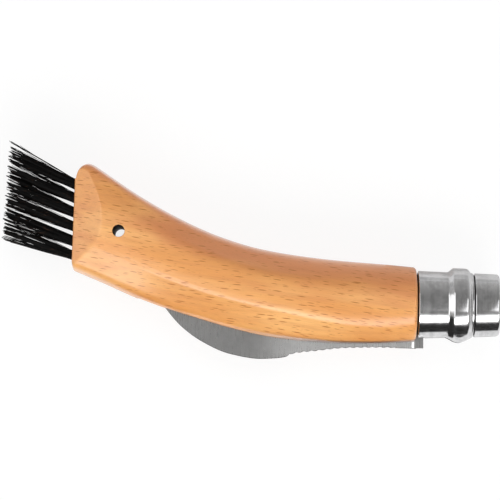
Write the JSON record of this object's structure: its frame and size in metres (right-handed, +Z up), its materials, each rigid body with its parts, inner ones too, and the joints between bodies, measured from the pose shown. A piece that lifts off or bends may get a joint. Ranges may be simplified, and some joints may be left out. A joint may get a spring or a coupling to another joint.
{
  "type": "folding mushroom knife",
  "caption": "Folding mushroom knife with a curved wooden handle, a hooked blade, a turning lock collar and a bristle brush set in the handle's end.",
  "frame": {"origin": "bottom centre of the bounding box, with the folded knife lying on the flat side of its handle", "axes": "+X along the collar's axis to its open front, +Y towards the handle's back (the folded blade shows at -Y), +Z up, along the blade's pivot pin"},
  "size_m": [0.144, 0.061, 0.0224],
  "materials": {
    "beech": "clear varnished beech with short dark flecks",
    "blade_steel": "fine brushed across the blade",
    "collar_steel": "polished stainless steel",
    "pin_steel": "plain steel",
    "bristle": "dark natural bristle",
    "anchor_wire": "galvanised flat wire"
  },
  "bodies": {
    "grip": {"handle": "beech", "fixed_ferrule": "collar_steel", "pivot_pin": "pin_steel", "tuft_r1_c1": "bristle", "tuft_r1_c2": "bristle", "tuft_r1_c3": "bristle", "tuft_r2_c1": "bristle", "tuft_r2_c2": "bristle", "tuft_r2_c3": "bristle", "tuft_r3_c1": "bristle", "tuft_r3_c2": "bristle", "tuft_r3_c3": "bristle", "tuft_r4_c1": "bristle", "tuft_r4_c2": "bristle", "tuft_r4_c3": "bristle", "tuft_r5_c1": "bristle", "tuft_r5_c2": "bristle", "tuft_r5_c3": "bristle", "tuft_r6_c1": "bristle", "tuft_r6_c2": "bristle", "tuft_r6_c3": "bristle", "anchor_r1_c1": "anchor_wire", "anchor_r1_c2": "anchor_wire", "anchor_r1_c3": "anchor_wire", "anchor_r2_c1": "anchor_wire", "anchor_r2_c2": "anchor_wire", "anchor_r2_c3": "anchor_wire", "anchor_r3_c1": "anchor_wire", "anchor_r3_c2": "anchor_wire", "anchor_r3_c3": "anchor_wire", "anchor_r4_c1": "anchor_wire", "anchor_r4_c2": "anchor_wire", "anchor_r4_c3": "anchor_wire", "anchor_r5_c1": "anchor_wire", "anchor_r5_c2": "anchor_wire", "anchor_r5_c3": "anchor_wire", "anchor_r6_c1": "anchor_wire", "anchor_r6_c2": "anchor_wire", "anchor_r6_c3": "anchor_wire"},
    "knife_blade": {"blade": "blade_steel"},
    "locking_ring": {"lock_ring": "collar_steel"}
  },
  "joints": [
    {"name": "blade_hinge", "type": "hinge", "parent": "grip", "child": "knife_blade", "pos_m": [0.06125, -0.01451, 0.0112], "axis": [0, 0, 1], "range_deg": [0, 180]},
    {"name": "ring_turn", "type": "hinge", "parent": "grip", "child": "locking_ring", "pos_m": [0.06125, -0.01451, 0.0112], "axis": [-1, 0, 0], "range_deg": [0, 45]}
  ]
}
